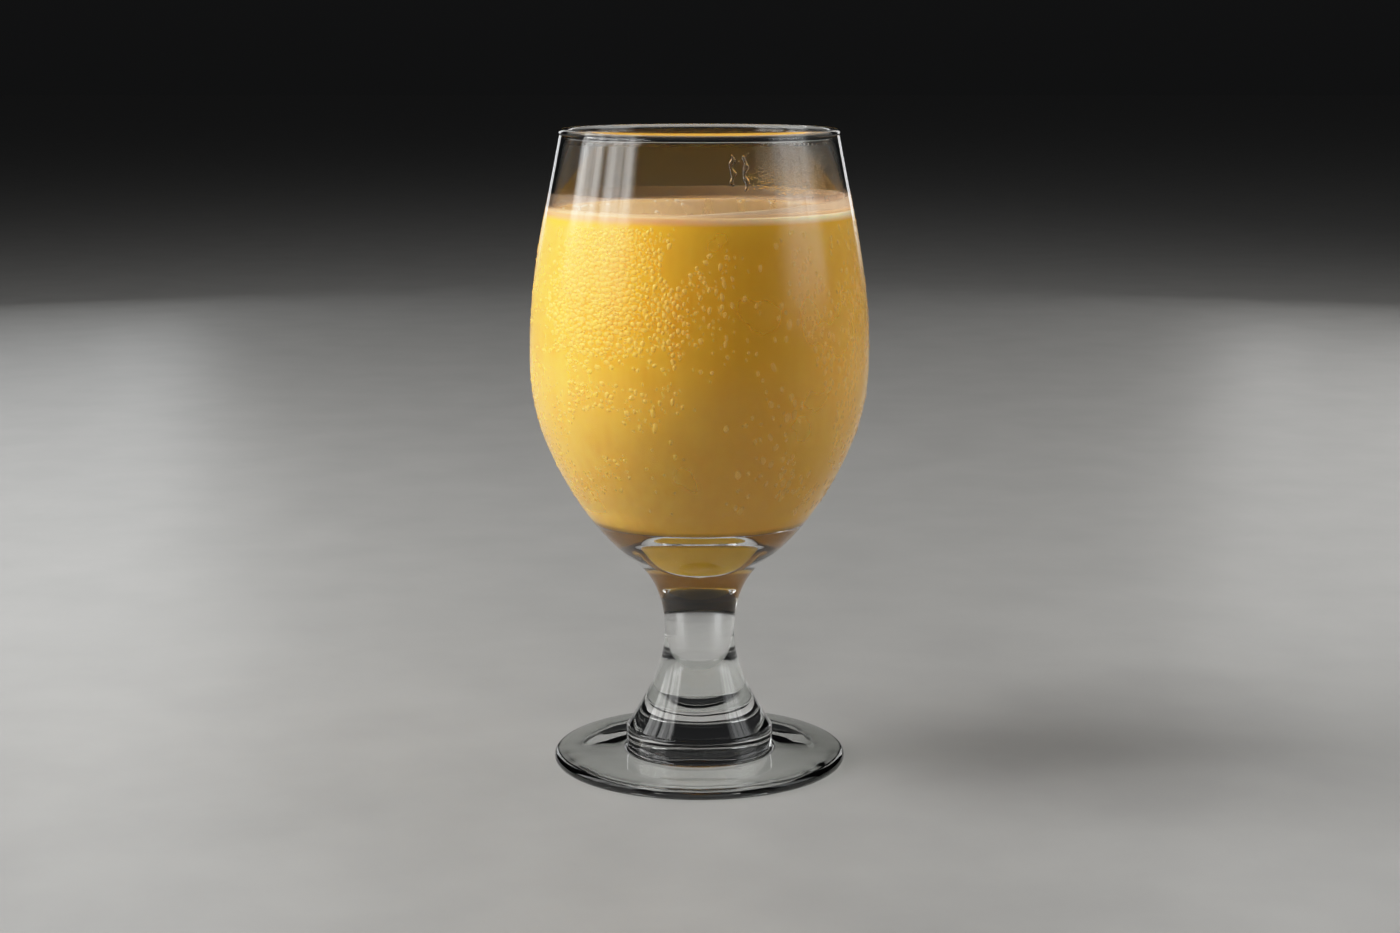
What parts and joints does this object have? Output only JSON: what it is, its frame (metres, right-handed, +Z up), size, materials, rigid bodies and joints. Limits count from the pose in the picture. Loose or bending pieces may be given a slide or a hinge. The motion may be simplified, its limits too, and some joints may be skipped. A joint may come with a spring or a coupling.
{
  "type": "mango lassi",
  "caption": "Thick yellow mango yogurt drink in a clear stemmed goblet with a rounded bowl, a short waisted stem and a round foot.",
  "frame": {"origin": "centre of the foot's underside, on the surface that the goblet stands on", "axes": "+Z up along the goblet's axis; the goblet and its drink are the same all round"},
  "size_m": [0.0844, 0.0844, 0.16],
  "materials": {
    "clear_glass": "smooth clear soda-lime glass with condensation outside",
    "mango_lassi": "smooth opaque liquid, moist surface"
  },
  "bodies": {
    "root": {"goblet": "clear_glass", "lassi": "mango_lassi"}
  },
  "joints": []
}
